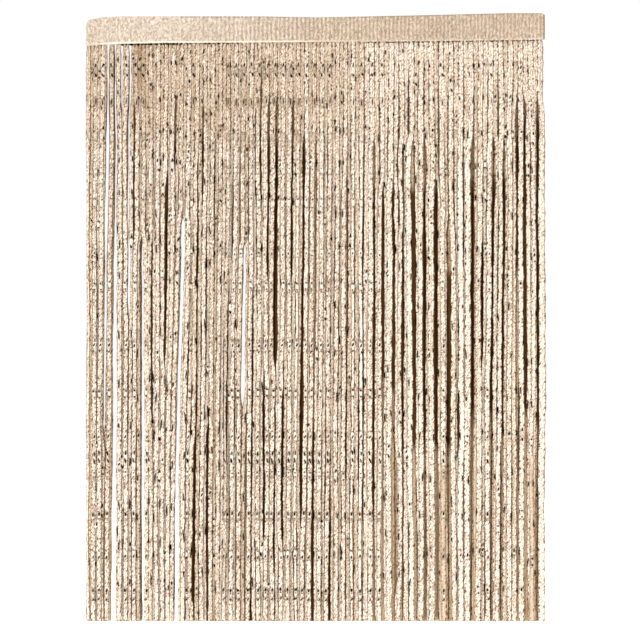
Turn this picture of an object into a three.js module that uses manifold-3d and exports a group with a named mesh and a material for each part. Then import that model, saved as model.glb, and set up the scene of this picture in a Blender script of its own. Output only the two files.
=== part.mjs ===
// A sequin curtain: a ribbed header tape with about three hundred flat knitted strings hanging from its selvedge.
// Sizes are in millimetres, with +Z up. The origin is on the tape's top edge at mid width, where the curtain is
// held. X runs along the tape to the right, and the front of the curtain faces -Y.
import * as THREE from "three";
import { mergeVertices } from "three/addons/utils/BufferGeometryUtils.js";
import Module from "manifold-3d";

const wasm = await Module();
wasm.setup();

// Driving sizes of the whole curtain
const WIDTH = 900; // of the tape, end to end
const DROP = 1185; // from the origin down to the cut ends of the strings
const SPLIT = 0.3; // the gap between pieces that touch

// The header tape, woven double, with a rib for each of its warp cords
const TAPE_THICKNESS = 3; // over the ribs
const RIB_COUNT = 112;
const RIB_HEIGHT = 0.4; // of a rib above its grooves, on each face
const SELVEDGE_HEIGHT = 5; // of the tape's lowest strip, which holds the strings' roots
const SELVEDGE_THICKNESS = 0.8; // of each of its three plies

// The tape's two edges, from its drooping left end to its slightly raised right end
const TAPE_EDGES = [
  { x: -450, top: -16, foot: -59 },
  { x: -446, top: -9, foot: -58 },
  { x: -438, top: -4, foot: -57 },
  { x: -420, top: 0, foot: -55 },
  { x: -390, top: 2, foot: -53 },
  { x: -300, top: 2, foot: -51 },
  { x: -110, top: 2, foot: -50 },
  { x: 0, top: 0, foot: -49 },
  { x: 110, top: 2, foot: -48 },
  { x: 250, top: 5, foot: -47 },
  { x: 374, top: 8, foot: -45 },
  { x: 443, top: 8, foot: -44 },
  { x: 450, top: 5, foot: -43 },
];

// The strings, flat knitted ribbons that leave a ply of the selvedge and spread to two layers in each row
const STRING_WIDTH = 6.4;
const STRING_THICKNESS = 2;
const ROOT_WIDTH = 5;
const ROOT_THICKNESS = 0.5;
const ROOT_DEPTH = 1.2; // of a root inside its ply
const SWAY = 1.1; // the most that a string strays to either side of its line
const LEVELS = [-95, -340, -600, -880, -DROP]; // where a string bends, below its root

// The three rows. Each names its ply's place in Y, its strings' two layers, and runs of evenly spaced roots.
const ROWS = [
  {
    name: "strings_front",
    colour: "#d9c7ae",
    ply: -1.1,
    layers: [-6.9, -4.1],
    sides: 4,
    runs: [
      { from: -445, to: 82, count: 70 },
      { from: 91, to: 441, count: 37 },
    ],
    showsEveryParting: true,
  },
  {
    name: "strings_inner",
    colour: "#4b3521",
    ply: 0,
    layers: [-1.3, 1.3],
    sides: 3,
    runs: [{ from: -442, to: 438, count: 96 }],
    showsEveryParting: false,
  },
  {
    name: "strings_back",
    colour: "#d2bfa5",
    ply: 1.1,
    layers: [6.9, 4.1],
    sides: 4,
    runs: [{ from: -444, to: 440, count: 96 }],
    showsEveryParting: false,
  },
];

// The partings between the strings, from left to right. Each has its place under the tape, how far it leans
// by the foot, where it opens and shuts, and its clear width. One that goes through parts all three rows, and
// the others part the front row alone and show the inner one. A foot below the drop stays open to the end.
const PARTINGS = [
  { x: -406, lean: -12, top: -40, foot: -860, width: 3, through: true },
  { x: -392, lean: -3, top: -110, foot: -1400, width: 7, through: true },
  { x: -364, lean: -5, top: -60, foot: -620, width: 3, through: true },
  { x: -340, lean: 2, top: -500, foot: -1400, width: 3, through: true },
  { x: -292, lean: -9, top: -370, foot: -710, width: 4, through: false },
  { x: -255, lean: -19, top: -400, foot: -1400, width: 5, through: true },
  { x: -220, lean: -8, top: -210, foot: -390, width: 3, through: false },
  { x: -208, lean: -6, top: -850, foot: -1400, width: 3, through: false },
  { x: -135, lean: -13, top: -400, foot: -710, width: 5, through: true },
  { x: -116, lean: -4, top: -210, foot: -390, width: 3, through: false },
  { x: -91, lean: -5, top: -210, foot: -540, width: 6, through: false },
  { x: -77, lean: -6, top: -210, foot: -710, width: 7, through: false },
  { x: -44, lean: -6, top: -210, foot: -540, width: 5, through: false },
  { x: -22, lean: -8, top: -290, foot: -1030, width: 6, through: false },
  { x: 1, lean: -8, top: -290, foot: -1400, width: 3, through: false },
  { x: 64, lean: -4, top: -370, foot: -940, width: 3, through: false },
  { x: 115, lean: -1, top: -290, foot: -460, width: 3, through: false },
  { x: 134, lean: -2, top: -370, foot: -790, width: 4, through: false },
  { x: 152, lean: 0, top: -370, foot: -1100, width: 5, through: false },
  { x: 174, lean: -3, top: -290, foot: -860, width: 4, through: false },
  { x: 190, lean: 5, top: -290, foot: -860, width: 8, through: false },
  { x: 214, lean: 1, top: -290, foot: -790, width: 5, through: false },
  { x: 233, lean: 4, top: -370, foot: -860, width: 8, through: false },
  { x: 258, lean: 4, top: -450, foot: -860, width: 6, through: false },
  { x: 307, lean: -3, top: -290, foot: -860, width: 5, through: false },
  { x: 352, lean: -6, top: -290, foot: -790, width: 4, through: false },
  { x: 371, lean: -7, top: -290, foot: -860, width: 5, through: false },
  { x: 395, lean: 2, top: -210, foot: -540, width: 5, through: false },
  { x: 411, lean: 2, top: -210, foot: -790, width: 5, through: false },
  { x: 434, lean: 0, top: -210, foot: -860, width: 7, through: false },
];
const LEANS = [{ x: -WIDTH / 2, lean: 0 }, ...PARTINGS, { x: WIDTH / 2, lean: 0 }]; // the outer edges hang plumb
const OPENS_OVER = 90; // the length over which a parting opens, and over which it shuts
const STRING_REACH = 4.2; // from a string's middle to the edge of its widest turn
const PUSH_FADES = 30; // the distance over which a parting's push on the strings beside it dies away

const MATERIAL_ROUGHNESS = 0.8;
const TAPE_COLOUR = "#e6d2ba";

// A value of a table's column at x, in a straight line between the rows beside it and level beyond its ends.
function interpolate(table, column, x) {
  const next = table.findIndex((row) => row.x > x);
  if (next === 0) return table[0][column];
  if (next < 0) return table.at(-1)[column];
  const [a, b] = [table[next - 1], table[next]];
  return THREE.MathUtils.lerp(a[column], b[column], (x - a.x) / (b.x - a.x));
}

// How far open a parting is at height z, from 0 where it is shut to 1.
function openness(parting, z) {
  return (
    THREE.MathUtils.smoothstep(parting.top - z, 0, OPENS_OVER) *
    THREE.MathUtils.smoothstep(z - parting.foot, 0, OPENS_OVER)
  );
}

// Where a string rooted at x hangs at height z: it leans as the partings beside it do, and each parting then
// pushes it outwards, from a distance u to the square root of u squared plus m squared, so m is the least.
function hangingPlace(x, z, partings) {
  const settled = THREE.MathUtils.smoothstep(-z, 0, DROP);
  const leaning = x + settled * interpolate(LEANS, "lean", x);
  let place = leaning;
  for (const parting of partings) {
    const u = leaning - parting.x - settled * parting.lean;
    const m = openness(parting, z) * (parting.width / 2 + STRING_REACH);
    const push = (Math.hypot(u, m) - Math.abs(u)) * Math.exp(-Math.abs(u) / PUSH_FADES);
    place += u < 0 ? -push : push;
  }
  return place;
}

// A level section of a string, a rectangle or a flat triangle.
function stringSection(x, y, z, width, thickness, sides) {
  const [w, t] = [width / 2, thickness / 2];
  const corners =
    sides === 3
      ? [[-w, -t], [w, -t], [0, t]]
      : [[-w, -t], [w, -t], [w, t], [-w, t]];
  return corners.map(([dx, dy]) => new THREE.Vector3(x + dx, y + dy, z));
}

// A closed solid through sections that have the same number of corners, with a flat end at each.
function loft(sections) {
  const sides = sections[0].length;
  const positions = sections.flat().flatMap((point) => point.toArray());
  const faces = [];
  for (let row = 0; row < sections.length - 1; row++) {
    for (let side = 0; side < sides; side++) {
      const a = row * sides + side;
      const b = row * sides + ((side + 1) % sides);
      faces.push(a, a + sides, b, b, a + sides, b + sides);
    }
  }
  const last = (sections.length - 1) * sides;
  for (let side = 1; side < sides - 1; side++) {
    faces.push(0, side, side + 1);
    faces.push(last, last + side + 1, last + side);
  }
  return new wasm.Manifold(
    new wasm.Mesh({
      numProp: 3,
      vertProperties: new Float32Array(positions),
      triVerts: new Uint32Array(faces),
    }),
  );
}

// One string, from inside its ply to its cut end. Neighbours hang in the row's two layers by turns.
function stringSolid(row, rootX, index, partings) {
  const layer = row.layers[index % row.layers.length];
  const rootZ = interpolate(TAPE_EDGES, "foot", rootX) + ROOT_DEPTH;
  const root = stringSection(rootX, row.ply, rootZ, ROOT_WIDTH, ROOT_THICKNESS, row.sides);
  const hanging = LEVELS.map((z, level) => {
    const sway = level === 0 ? 0 : SWAY * Math.sin(2.4 * index + 1.7 * level);
    const x = hangingPlace(rootX, z, partings) + sway;
    return stringSection(x, layer, z, STRING_WIDTH, STRING_THICKNESS, row.sides);
  });
  return loft([root, ...hanging]);
}

// One ply of the selvedge, under the tape's own lower edge from end to end.
function plySolid(y) {
  const t = SELVEDGE_THICKNESS / 2;
  return loft(
    TAPE_EDGES.map(({ x, foot }) => {
      const top = foot + SELVEDGE_HEIGHT - SPLIT;
      return [
        new THREE.Vector3(x, y - t, foot),
        new THREE.Vector3(x, y + t, foot),
        new THREE.Vector3(x, y + t, top),
        new THREE.Vector3(x, y - t, top),
      ];
    }).reverse(),
  );
}

// A row of strings fused by their roots to their ply.
function rowSolid(row) {
  const partings = PARTINGS.filter((parting) => row.showsEveryParting || parting.through);
  const roots = row.runs.flatMap(({ from, to, count }) =>
    Array.from({ length: count }, (_, i) => THREE.MathUtils.lerp(from, to, i / (count - 1))),
  );
  const strings = roots.map((x, index) => stringSolid(row, x, index, partings));
  return wasm.Manifold.union([plySolid(row.ply), ...strings]);
}

// The tape above its selvedge. Its columns stand by turns on a groove and on a rib, the same on both faces.
function tapeSolid() {
  const columns = Array.from({ length: 2 * RIB_COUNT + 1 }, (_, i) => {
    const x = WIDTH * (i / (2 * RIB_COUNT) - 0.5);
    const t = TAPE_THICKNESS / 2 - (i % 2 ? 0 : RIB_HEIGHT);
    const top = interpolate(TAPE_EDGES, "top", x);
    const foot = interpolate(TAPE_EDGES, "foot", x) + SELVEDGE_HEIGHT;
    return [
      new THREE.Vector3(x, -t, foot),
      new THREE.Vector3(x, t, foot),
      new THREE.Vector3(x, t, top),
      new THREE.Vector3(x, -t, top),
    ];
  });
  return loft(columns.reverse());
}

// A named mesh of a joined solid, in its own cloth.
function clothMesh(name, solid, colour) {
  const mesh = solid.getMesh();
  const geometry = new THREE.BufferGeometry();
  geometry.setAttribute("position", new THREE.BufferAttribute(mesh.vertProperties, mesh.numProp));
  geometry.setIndex(new THREE.BufferAttribute(mesh.triVerts, 1));
  const merged = mergeVertices(geometry);
  merged.computeVertexNormals();
  const material = new THREE.MeshStandardMaterial({
    color: colour,
    roughness: MATERIAL_ROUGHNESS,
    metalness: 0,
  });
  const cloth = new THREE.Mesh(merged, material);
  cloth.name = name;
  return cloth;
}

const curtain = new THREE.Group();
curtain.add(clothMesh("header_tape", tapeSolid(), TAPE_COLOUR));
for (const row of ROWS) curtain.add(clothMesh(row.name, rowSolid(row), row.colour));

export default curtain;
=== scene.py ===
"""A sequin curtain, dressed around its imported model: a ribbed header tape, three rows of flat knitted strings
that hang from its selvedge, and the oval sequins threaded on them.

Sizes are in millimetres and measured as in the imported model: X along the tape, the front of the curtain
towards -Y, and +Z up from the tape's top edge. mesh_of turns them to metres.
"""

import bpy
import numpy as np
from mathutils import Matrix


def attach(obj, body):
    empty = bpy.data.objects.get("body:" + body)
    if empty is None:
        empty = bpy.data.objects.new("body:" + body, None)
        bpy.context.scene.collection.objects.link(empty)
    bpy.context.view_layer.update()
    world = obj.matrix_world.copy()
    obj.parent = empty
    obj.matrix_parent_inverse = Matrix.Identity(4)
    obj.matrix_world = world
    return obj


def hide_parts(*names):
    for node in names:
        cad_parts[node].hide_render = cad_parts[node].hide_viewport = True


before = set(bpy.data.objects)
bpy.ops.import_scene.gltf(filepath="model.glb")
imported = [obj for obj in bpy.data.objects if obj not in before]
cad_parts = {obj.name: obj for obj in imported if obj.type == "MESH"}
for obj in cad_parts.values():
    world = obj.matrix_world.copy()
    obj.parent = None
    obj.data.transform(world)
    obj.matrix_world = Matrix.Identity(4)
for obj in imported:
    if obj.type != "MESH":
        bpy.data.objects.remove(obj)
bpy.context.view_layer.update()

MM = 0.001
PHOTO_PIXELS = 640  # the photograph's width and height
TAPE_PIXELS = 459  # the tape's width in the photograph

# The curtain's sizes, as its solids have them
WIDTH = 900
DROP = 1185
TAPE_THICKNESS = 3
TAPE_HEIGHT = 57
HEM_HEIGHT = 7
RIB_COUNT = 112
RIB_CROWDING = 3.6  # by how many ribs' places the middle ones have moved, as they crowd to the right

# The tape's uneven outline: its top edge and its foot, along X
TAPE_EDGES = [
    {"x": -450, "top": -10.5, "foot": -58},
    {"x": -448, "top": -6.5, "foot": -57.5},
    {"x": -441, "top": -3.8, "foot": -56.5},
    {"x": -420, "top": 0, "foot": -54.5},
    {"x": -390, "top": 2, "foot": -53},
    {"x": -300, "top": 2, "foot": -51},
    {"x": -110, "top": 2, "foot": -50},
    {"x": 0, "top": 0, "foot": -49},
    {"x": 110, "top": 2, "foot": -48},
    {"x": 250, "top": 5, "foot": -47},
    {"x": 374, "top": 8, "foot": -45},
    {"x": 443, "top": 8, "foot": -44},
    {"x": 450, "top": 5, "foot": -43},
]

# The partings between the strings, from left to right: their place under the tape, how far they lean by the
# foot, where they open and shut, and their clear width. One that goes through all three rows has its clear
# width at each of five depths instead, and where it is lit the inner strings beside it lose their painted
# shade.
THROUGH_DEPTHS = [45, 170, 221, 398, 480]
PARTINGS = [
    {"x": -406, "lean": -12, "top": -40, "foot": -860, "through": [4.8, 5.5, 8.5, 8.5, 6], "lit": True},
    {"x": -392, "lean": -3, "top": -110, "foot": -1400, "through": [3.5, 4, 5.5, 5.5, 9.5], "lit": True},
    {"x": -364, "lean": -5, "top": -60, "foot": -620, "through": [4.8, 5.5, 9, 9, 5.5]},
    {"x": -340, "lean": 2, "top": -500, "foot": -1400, "through": [5, 5, 5, 5, 8], "lit": True},
    {"x": -292, "lean": -9, "top": -370, "foot": -710, "width": 4},
    {"x": -255, "lean": -19, "top": -460, "foot": -1400, "through": [7, 7, 7, 9, 9], "lit": True},
    {"x": -220, "lean": -8, "top": -210, "foot": -390, "width": 3},
    {"x": -208, "lean": -6, "top": -850, "foot": -1400, "width": 3},
    {"x": -135, "lean": -13, "top": -510, "foot": -790, "through": [7, 7, 7, 7, 7.5], "lit": True},
    {"x": -116, "lean": -4, "top": -210, "foot": -390, "width": 3},
    {"x": -91, "lean": -5, "top": -210, "foot": -540, "width": 6},
    {"x": -77, "lean": -6, "top": -210, "foot": -710, "width": 7},
    {"x": -44, "lean": -6, "top": -210, "foot": -540, "width": 5},
    {"x": -22, "lean": -8, "top": -290, "foot": -1030, "width": 6},
    {"x": 1, "lean": -8, "top": -290, "foot": -1400, "width": 3},
    {"x": 64, "lean": -4, "top": -370, "foot": -940, "width": 3},
    {"x": 115, "lean": -1, "top": -290, "foot": -460, "width": 3},
    {"x": 134, "lean": -2, "top": -370, "foot": -790, "width": 4},
    {"x": 152, "lean": 0, "top": -370, "foot": -1100, "width": 5},
    {"x": 174, "lean": -3, "top": -290, "foot": -860, "width": 4},
    {"x": 190, "lean": 5, "top": -290, "foot": -860, "width": 8},
    {"x": 214, "lean": 1, "top": -290, "foot": -790, "width": 5},
    {"x": 233, "lean": 4, "top": -370, "foot": -860, "width": 8},
    {"x": 258, "lean": 4, "top": -450, "foot": -860, "width": 6},
    {"x": 307, "lean": -3, "top": -290, "foot": -860, "width": 5},
    {"x": 352, "lean": -6, "top": -290, "foot": -790, "width": 4},
    {"x": 371, "lean": -7, "top": -290, "foot": -860, "width": 5},
    {"x": 395, "lean": 2, "top": -210, "foot": -540, "width": 5},
    {"x": 411, "lean": 2, "top": -210, "foot": -790, "width": 5},
    {"x": 434, "lean": 0, "top": -210, "foot": -860, "width": 7},
]
LEANS = [{"x": -WIDTH / 2, "lean": 0}, *PARTINGS, {"x": WIDTH / 2, "lean": 0}]
OPENS_OVER = 60  # the length over which a parting opens, and shuts again
OPENS_ABOVE = 80  # how far above the height in the table the soft knit starts to part
PUSH_FADES = 30  # how far from a parting its push on the strings falls to about a third
STAYS_OPEN_FROM = 110  # right of this place on X the front row's partings stay open to the foot
THROUGH_OPENS_OVER = 25  # one that goes through all the rows opens over this shorter length
THROUGH_TOP = -35  # none that goes through all the rows opens higher up

# Narrow slits that open and shut along the drop, between the front strings alone or through all the rows.
# They lean with the strings beside them.
SLITS = [
    {"x": -380, "top": -75, "foot": -230, "through": [4.8, 4.5, 4.5, 4.5, 4.5]},
    {"x": -358, "top": -215, "foot": -480, "width": 6.5},
    {"x": -321, "top": -480, "foot": -820, "width": 2.6},
    {"x": -274, "top": -215, "foot": -330, "width": 2.6},
    {"x": -231, "top": -880, "foot": -1180, "width": 1.4},
    {"x": -229, "top": -320, "foot": -560, "width": 1.6},
    {"x": -108, "top": -170, "foot": -380, "width": 2.2},
    {"x": -96, "top": -740, "foot": -1060, "width": 3.4},
    {"x": -76, "top": -800, "foot": -1110, "width": 2.8},
    {"x": -61, "top": -790, "foot": -1060, "width": 3.6},
    {"x": 35, "top": -980, "foot": -1240, "width": 2.2},
    {"x": 158, "top": -900, "foot": -1150, "width": 3.2},
    {"x": 185, "top": -1030, "foot": -1400, "width": 3.6},
    {"x": 165, "top": -400, "foot": -450, "width": 2.4},
    {"x": 279, "top": -790, "foot": -900, "width": 2.6},
    {"x": 330, "top": -490, "foot": -720, "width": 2.6},
    {"x": 359, "top": -400, "foot": -880, "width": 2.6},
    {"x": 421, "top": -260, "foot": -800, "width": 2.4},
]

# Where shade is painted on front strings, low on the right: from left to right, and down from a height
SHADED_STRINGS = [
    {"left": 236, "right": 262, "top": -850},
    {"left": 300, "right": 316, "top": -820},
    {"left": 421, "right": 433, "top": -830},
]

# The rows of strings: the depth of the ply that each hangs from, the depths of its two layers, how much of
# the pitch their strings fill, how far a parting's edge keeps from their middles, the row's runs of evenly
# spaced roots (from, to and how many), and the steps that each string is drawn in
ROWS = [
    {
        "name": "front",
        "ply": -1.1,
        "layers": [-6.9, -4.1],
        "fills": [1.09, 1.05],
        "reach": 3.2,
        "runs": [(-445, 82, 70), (91, 441, 37)],
        "steps": 138,
    },
    {
        "name": "inner",
        "ply": 0,
        "layers": [-1.3, 1.3],
        "fills": [1.13, 1.13],
        "reach": 5.0,
        "runs": [(-442, 438, 96)],
        "steps": 50,
    },
    {
        "name": "back",
        "ply": 1.1,
        "layers": [6.9, 4.1],
        "fills": [1.04, 1.04],
        "reach": 4.0,
        "runs": [(-444, 440, 96)],
        "steps": 80,
    },
]
STRING_THICKNESS = 1.9
STRING_SECTION = [(-1, 0), (-0.6, -1), (0, -0.4), (0.6, -1), (1, 0), (0, 1)]  # two wales and their groove
ROOT_TUCK = 1.5  # how far a string's root reaches up into the tape
FAN_LENGTH = 45  # the length over which a string leaves its ply for its layer
ROOT_PINCH = 14  # the length over which a string widens below the tape
ROOT_SHARE = 0.62  # the share of its width that a string has at its root
LOOSER = (60, 140)  # from the first to the second place on X the strings grow looser and less even
BELOW_TOP = (150, 300)  # over these lengths down a string what the tape holds even grows uneven
BESIDE_PITCHES = 1.2  # within so many pitches of a parting a string lies beside it
INNER_OVERLAP = 1.1  # how far the inner strings cover the gap to their neighbours
EDGE_ROUGHNESS = 0.12  # the share of its width by which a front string's edge is rough
STEADIED = 0.3  # the share of its wobble left to a cord, a string beside a parting or one of the rows behind

# Where shade is painted on the inner strings: the height at which the painted shade begins and ends, along X
PAINTED_SHADE_BAND = [
    {"x": -450, "top": -1300, "foot": -1300},
    {"x": -380, "top": -1300, "foot": -1300},
    {"x": -370, "top": -240, "foot": -700},
    {"x": -300, "top": -240, "foot": -900},
    {"x": -265, "top": -235, "foot": -1600},
    {"x": -105, "top": -225, "foot": -1600},
    {"x": -80, "top": -245, "foot": -1600},
    {"x": -46, "top": -265, "foot": -1600},
    {"x": -26, "top": -245, "foot": -1600},
    {"x": -12, "top": -265, "foot": -1600},
    {"x": -8, "top": -800, "foot": -1600},
    {"x": 14, "top": -800, "foot": -1600},
    {"x": 20, "top": -980, "foot": -1600},
    {"x": 42, "top": -980, "foot": -1600},
    {"x": 50, "top": -730, "foot": -960},
    {"x": 80, "top": -730, "foot": -960},
    {"x": 92, "top": -320, "foot": -1000},
    {"x": 122, "top": -335, "foot": -1000},
    {"x": 126, "top": -335, "foot": -725},
    {"x": 158, "top": -335, "foot": -750},
    {"x": 166, "top": -335, "foot": -861},
    {"x": 168, "top": -480, "foot": -861},
    {"x": 179, "top": -480, "foot": -861},
    {"x": 182, "top": -335, "foot": -861},
    {"x": 242, "top": -335, "foot": -861},
    {"x": 245, "top": -500, "foot": -861},
    {"x": 264, "top": -525, "foot": -861},
    {"x": 267, "top": -335, "foot": -861},
    {"x": 285, "top": -330, "foot": -861},
    {"x": 300, "top": -320, "foot": -804},
    {"x": 340, "top": -320, "foot": -790},
    {"x": 365, "top": -315, "foot": -861},
    {"x": 375, "top": -312, "foot": -812},
    {"x": 388, "top": -229, "foot": -512},
    {"x": 402, "top": -229, "foot": -512},
    {"x": 410, "top": -200, "foot": -790},
    {"x": 450, "top": -198, "foot": -830},
]
DARK_FADES = 12  # half the length over which the painted shade comes and goes
LIT_BESIDE = (9, 18)  # from a lit parting the painted shade begins at the first distance and is full at the second

# The sequins. Strings in step with their neighbours have them at the same heights. Each row shows its three
# sewing eyes in its own way, as marks of painted shade: each eye's place above the sequin's middle, width,
# height, lean to the right in degrees, and tone. In a glinting row the domes in step take the pearl finish
# with its painted highlight.
SEQUIN_ROWS = [
    {
        "z": -104,
        "glint": False,
        "eyes": [(9.2, 3.2, 9.5, 12, "dark"), (-1.4, 2, 2, 0, "tan"), (-10.5, 3.6, 8.5, -20, "dark")],
    },
    {
        "z": -168,
        "glint": False,
        "eyes": [(8, 2.2, 3, 0, "tan"), (1, 2.8, 13, 3, "brown"), (-10, 1, 1, 0, "tan")],
    },
    {
        "z": -236,
        "glint": False,
        "eyes": [(5, 2, 2.2, 0, "tan"), (0, 1, 1, 0, "tan"), (-6, 2, 2, 0, "tan")],
    },
    {
        "z": -300,
        "glint": False,
        "eyes": [(3, 2.8, 3.6, 20, "brown"), (0, 1, 1, 0, "tan"), (-7, 2.4, 2.8, 20, "tan")],
    },
    {
        "z": -364,
        "glint": False,
        "eyes": [(6, 3.2, 4, 0, "brown"), (0, 1, 1, 0, "tan"), (-9, 3, 3, 0, "tan")],
    },
    {
        "z": -464,
        "glint": False,
        "eyes": [(8, 2, 2.6, 0, "tan"), (-1, 3.2, 5, 20, "brown"), (-8, 1.4, 2, 0, "tan")],
    },
    {
        "z": -529,
        "glint": False,
        "eyes": [(7, 3.6, 4.6, -30, "brown"), (-5, 3.4, 4.6, -30, "brown"), (-9.6, 3, 4.2, 20, "tan")],
    },
    {
        "z": -643,
        "glint": False,
        "eyes": [(9, 3, 9, 4, "tan"), (-0.5, 3.6, 8, 20, "dark"), (-13, 3, 4.6, 0, "brown")],
    },
    {
        "z": -737,
        "glint": True,
        "eyes": [(5, 3.8, 5, -15, "dark"), (-7.2, 3.4, 4.2, -15, "brown"), (-12, 2, 2, 0, "tan")],
    },
    {
        "z": -822,
        "glint": False,
        "eyes": [(10, 2.8, 3.8, -15, "tan"), (-0.8, 3.4, 8, 25, "brown"), (-9, 1.4, 2, 0, "tan")],
    },
    {
        "z": -863,
        "glint": False,
        "eyes": [(7.5, 3.2, 11, -4, "dark"), (-7, 3.5, 12, -14, "dark"), (0, 1, 1, 0, "tan")],
    },
    {
        "z": -896,
        "glint": False,
        "eyes": [(3, 3.6, 3.8, 0, "brown"), (-5, 3, 4.6, 25, "tan"), (-10, 1.4, 2, 0, "tan")],
    },
    {
        "z": -978,
        "glint": True,
        "eyes": [(4, 3.9, 8.4, 4, "dark"), (-4.8, 3, 4.2, 0, "tan"), (-12, 2, 2, 0, "tan")],
    },
    {
        "z": -1055,
        "glint": False,
        "eyes": [(10, 2.8, 6, -25, "tan"), (-3, 3.8, 8, 15, "brown"), (-9.6, 1.4, 2, 0, "tan")],
    },
    {
        "z": -1130,
        "glint": True,
        "eyes": [(7, 4.2, 8.4, 5, "dark"), (0.8, 3.2, 3.6, 0, "brown"), (-11, 3.4, 7, 45, "brown")],
    },
]
TALL_EYES = 10  # the row of tall dark eyes, which only the strings in step have
IN_STEP = [(-450, -335), (-185, 30), (68, 150)]  # where along X the strings are in step
LONE_ROWS = [0, 7, 8, 12]  # the rows that a lone string's flat sequins look like
EYE_TONES = ["dark", "brown", "tan"]
SEQUIN_HEIGHT = 21
SEQUIN_WIDTH = 7.6
SEQUIN_DOME = 1.5
SEQUIN_SIDES = 8
EYE_SIDES = 5
HIGHEST_SEQUIN = -64
LOWEST_SEQUIN = -DROP + 12
SEQUIN_MARGIN = 12  # no sequin hangs from a root closer than this to an end of the tape
GAP_CLEARANCE = 14  # so close to an open gap, a sequin on edge stands on its string's other side

random = np.random.default_rng(20)  # for every random draw but the next one's
edge_random = np.random.default_rng(4)  # for the rough edges of the front strings alone


def column(table, name):
    """One named column of a table, as an array."""
    return np.array([row[name] for row in table], float)


def along(table, name, x):
    """A table's column at x: a straight line between its rows, and level beyond its ends."""
    return np.interp(x, column(table, "x"), column(table, name))


def smoothstep(value, start, end):
    """0 before start and 1 after end, with t squared times (3 - 2 t) between them."""
    t = np.clip((value - start) / (end - start), 0, 1)
    return t * t * (3 - 2 * t)


def rotated(first, second, angle):
    """Two coordinates turned by an angle: first cos - second sin, and first sin + second cos."""
    cos, sin = np.cos(angle), np.sin(angle)
    return first * cos - second * sin, first * sin + second * cos


def wander(count, lengths, wavelengths, amplitude):
    """A slow random line for each of count strings: a sum of sines of the length along it, one for each
    wavelength, each with its own phase and an amplitude in proportion to its wavelength."""
    shares = np.array(wavelengths) / sum(wavelengths)
    line = np.zeros((count, lengths.shape[-1]))
    for wavelength, share in zip(wavelengths, shares):
        phases = random.uniform(0, 2 * np.pi, (count, 1))
        line += share * np.sin(2 * np.pi * lengths / wavelength + phases)
    return amplitude * line


def hanging_place(x, z, partings, reach):
    """Where a string rooted at x hangs at height z. It leans as the partings beside it do, and each parting
    then pushes it outwards from a distance u to the square root of u squared plus m squared, so m is the
    least. The push fades as the exponential of minus u over its reach."""
    settled = smoothstep(-z, 0, DROP)
    leaning = x + settled * along(LEANS, "lean", x)
    place = leaning.copy()
    for parting in partings:
        top, foot, opens_over = parting["top"] + OPENS_ABOVE, parting["foot"], OPENS_OVER
        if parting in PARTINGS and parting["x"] > STAYS_OPEN_FROM:
            foot = -2 * DROP
        if "through" in parting:
            clear = np.interp(-z, THROUGH_DEPTHS, parting["through"])
            top, opens_over = min(top, THROUGH_TOP), THROUGH_OPENS_OVER
        else:
            clear = parting["width"]
        opening = smoothstep(top - z, 0, opens_over) * smoothstep(z - foot, 0, OPENS_OVER)
        m = opening * (clear / 2 + reach)
        u = leaning - parting["x"] - settled * along(LEANS, "lean", parting["x"])
        place += np.where(u < 0, -1, 1) * (np.hypot(u, m) - np.abs(u)) * np.exp(-np.abs(u) / PUSH_FADES)
    return place


def mesh_of(name, points, faces, materials, uv=None, attributes=None, face_materials=None):
    """A mesh object of many like bodies. points holds each body's corners in millimetres, faces is one body's
    faces as tuples of its corners, and uv and attributes hold a value for each corner of each body."""
    bodies, corners = points.shape[:2]
    sizes = np.array([len(face) for face in faces])
    flat = np.concatenate([np.array(face) for face in faces])
    offsets = np.arange(bodies) * corners
    loops = (flat[None, :] + offsets[:, None]).ravel()
    totals = np.tile(sizes, bodies)
    starts = np.concatenate([[0], np.cumsum(totals)[:-1]])
    mesh = bpy.data.meshes.new(name)
    mesh.vertices.add(bodies * corners)
    mesh.vertices.foreach_set("co", (points.reshape(-1, 3) * MM).astype(np.float32).ravel())
    mesh.loops.add(len(loops))
    mesh.loops.foreach_set("vertex_index", loops.astype(np.int32))
    mesh.polygons.add(len(totals))
    mesh.polygons.foreach_set("loop_start", starts.astype(np.int32))
    for material in materials:
        mesh.materials.append(material)
    if face_materials is not None:
        kinds = np.broadcast_to(face_materials, (bodies, len(faces)))
        mesh.polygons.foreach_set("material_index", kinds.astype(np.int32).ravel())
    if uv is not None:
        layer = mesh.uv_layers.new(name="cloth")
        layer.data.foreach_set("uv", uv.reshape(-1, 2)[loops].astype(np.float32).ravel())
    for key, values in (attributes or {}).items():
        attribute = mesh.attributes.new(key, "FLOAT", "POINT")
        attribute.data.foreach_set("value", values.astype(np.float32).ravel())
    mesh.update(calc_edges=True)
    mesh.polygons.foreach_set("use_smooth", np.ones(len(totals), bool))
    mesh.validate()
    piece = bpy.data.objects.new(name, mesh)
    bpy.context.scene.collection.objects.link(piece)
    return piece


def tube_faces(rows, sides):
    """The faces of a closed tube of rows times sides corners: a quad between each two rows and corners, and
    one flat face at each end."""
    quads = []
    for row in range(rows - 1):
        for side in range(sides):
            low, high = row * sides, (row + 1) * sides
            next_side = (side + 1) % sides
            quads.append((low + side, low + next_side, high + next_side, high + side))
    start = tuple(range(sides))[::-1]
    end = tuple(range((rows - 1) * sides, rows * sides))
    return [start, *quads, end]


def linear(colour):
    """An sRGB hex colour as linear red, green, blue and alpha."""
    parts = np.array([int(colour[i:i + 2], 16) / 255 for i in (1, 3, 5)])
    parts = np.where(parts <= 0.04045, parts / 12.92, ((parts + 0.055) / 1.055) ** 2.4)
    return (*parts, 1.0)


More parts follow.
